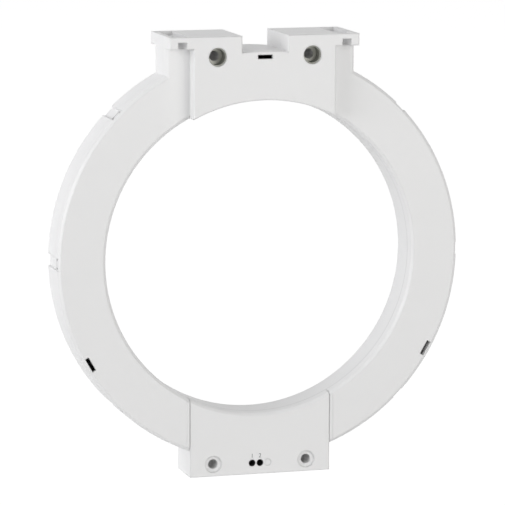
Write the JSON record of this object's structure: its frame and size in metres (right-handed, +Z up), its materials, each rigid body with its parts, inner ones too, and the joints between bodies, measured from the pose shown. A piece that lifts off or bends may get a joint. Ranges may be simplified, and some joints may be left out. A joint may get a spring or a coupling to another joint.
{
  "type": "closed-ring current transformer",
  "caption": "Closed-ring residual-current transformer: a moulded ring round a large cable window, with a slotted foot above and a terminal block below.",
  "frame": {"origin": "centre of the cable window, halfway through its depth", "axes": "+Z up towards the foot's mounting face, +Y along the cable window away from the screw side, +X to the right when the screw side is seen"},
  "size_m": [0.2558, 0.046, 0.274],
  "materials": {
    "housing": "fine satin moulded",
    "core_strip": "bright rolled strip",
    "case_plastic": "moulded",
    "foam": "soft cellular",
    "enamelled_wire": "enamelled",
    "shield_steel": "cold rolled",
    "terminal_plastic": "moulded",
    "bar_brass": "tin plated",
    "plated_steel": "zinc plated",
    "cup_steel": "phosphated",
    "lead_sleeve": "sleeved"
  },
  "bodies": {
    "housing": {"front_shell": "housing", "rear_shell": "housing", "base_cover": "housing", "left_cup": "cup_steel", "right_cup": "cup_steel", "core": "core_strip", "core_case": "case_plastic", "core_case_lid": "case_plastic", "front_pads": "foam", "rear_pads": "foam", "secondary_winding": "enamelled_wire", "inner_shield": "shield_steel", "outer_shield": "shield_steel", "terminal_body": "terminal_plastic", "terminal_bar_1": "bar_brass", "terminal_bar_2": "bar_brass", "start_lead": "lead_sleeve", "finish_lead": "lead_sleeve"},
    "screw_1": {"terminal_screw_1": "plated_steel"},
    "cage_1": {"terminal_cage_1": "plated_steel"},
    "screw_2": {"terminal_screw_2": "plated_steel"},
    "cage_2": {"terminal_cage_2": "plated_steel"}
  },
  "joints": [
    {"name": "screw_1_turn", "type": "hinge", "parent": "housing", "child": "screw_1", "pos_m": [-0.00508, 0, -0.1295], "axis": [0, 1, 0], "range_deg": [0, 1440]},
    {"name": "cage_1_rise", "type": "slide", "parent": "housing", "child": "cage_1", "axis": [0, -1, 0], "range_m": [0, 0.002]},
    {"name": "screw_2_turn", "type": "hinge", "parent": "housing", "child": "screw_2", "pos_m": [0, 0, -0.1295], "axis": [0, 1, 0], "range_deg": [0, 1440]},
    {"name": "cage_2_rise", "type": "slide", "parent": "housing", "child": "cage_2", "axis": [0, -1, 0], "range_m": [0, 0.002]}
  ],
  "couplings": [
    {"joint": "screw_1_turn", "follows": "cage_1_rise", "rad_per_m": 12566},
    {"joint": "screw_2_turn", "follows": "cage_2_rise", "rad_per_m": 12566}
  ]
}
